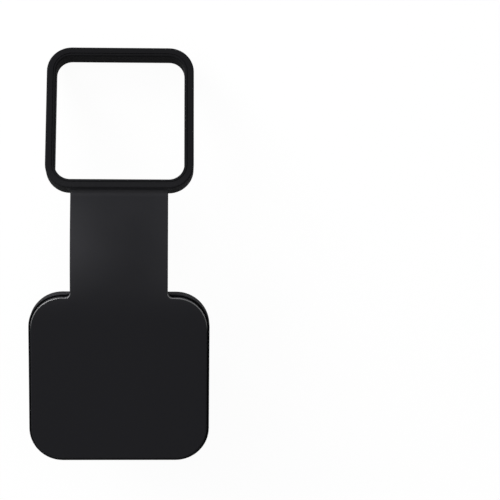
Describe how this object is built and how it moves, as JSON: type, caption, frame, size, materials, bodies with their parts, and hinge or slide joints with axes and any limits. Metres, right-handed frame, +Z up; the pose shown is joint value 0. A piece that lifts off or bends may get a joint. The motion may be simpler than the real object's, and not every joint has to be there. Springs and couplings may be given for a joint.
{
  "type": "hitch receiver cover",
  "caption": "One-piece black rubber cover for a square hitch receiver: a cap with a ribbed plug, tied by a strap to a collar that stays on the tube.",
  "frame": {"origin": "middle of the plug's open rim, on the surface that the cover lies on", "axes": "+Z up, out of the cap's outer face; +Y from the cap along the strap to the collar; X across the strap"},
  "size_m": [0.089, 0.2023, 0.0472],
  "materials": {
    "black_rubber": "moulded matt with a soft sheen"
  },
  "bodies": {
    "root": {"hitch_cover": "black_rubber"}
  },
  "joints": []
}
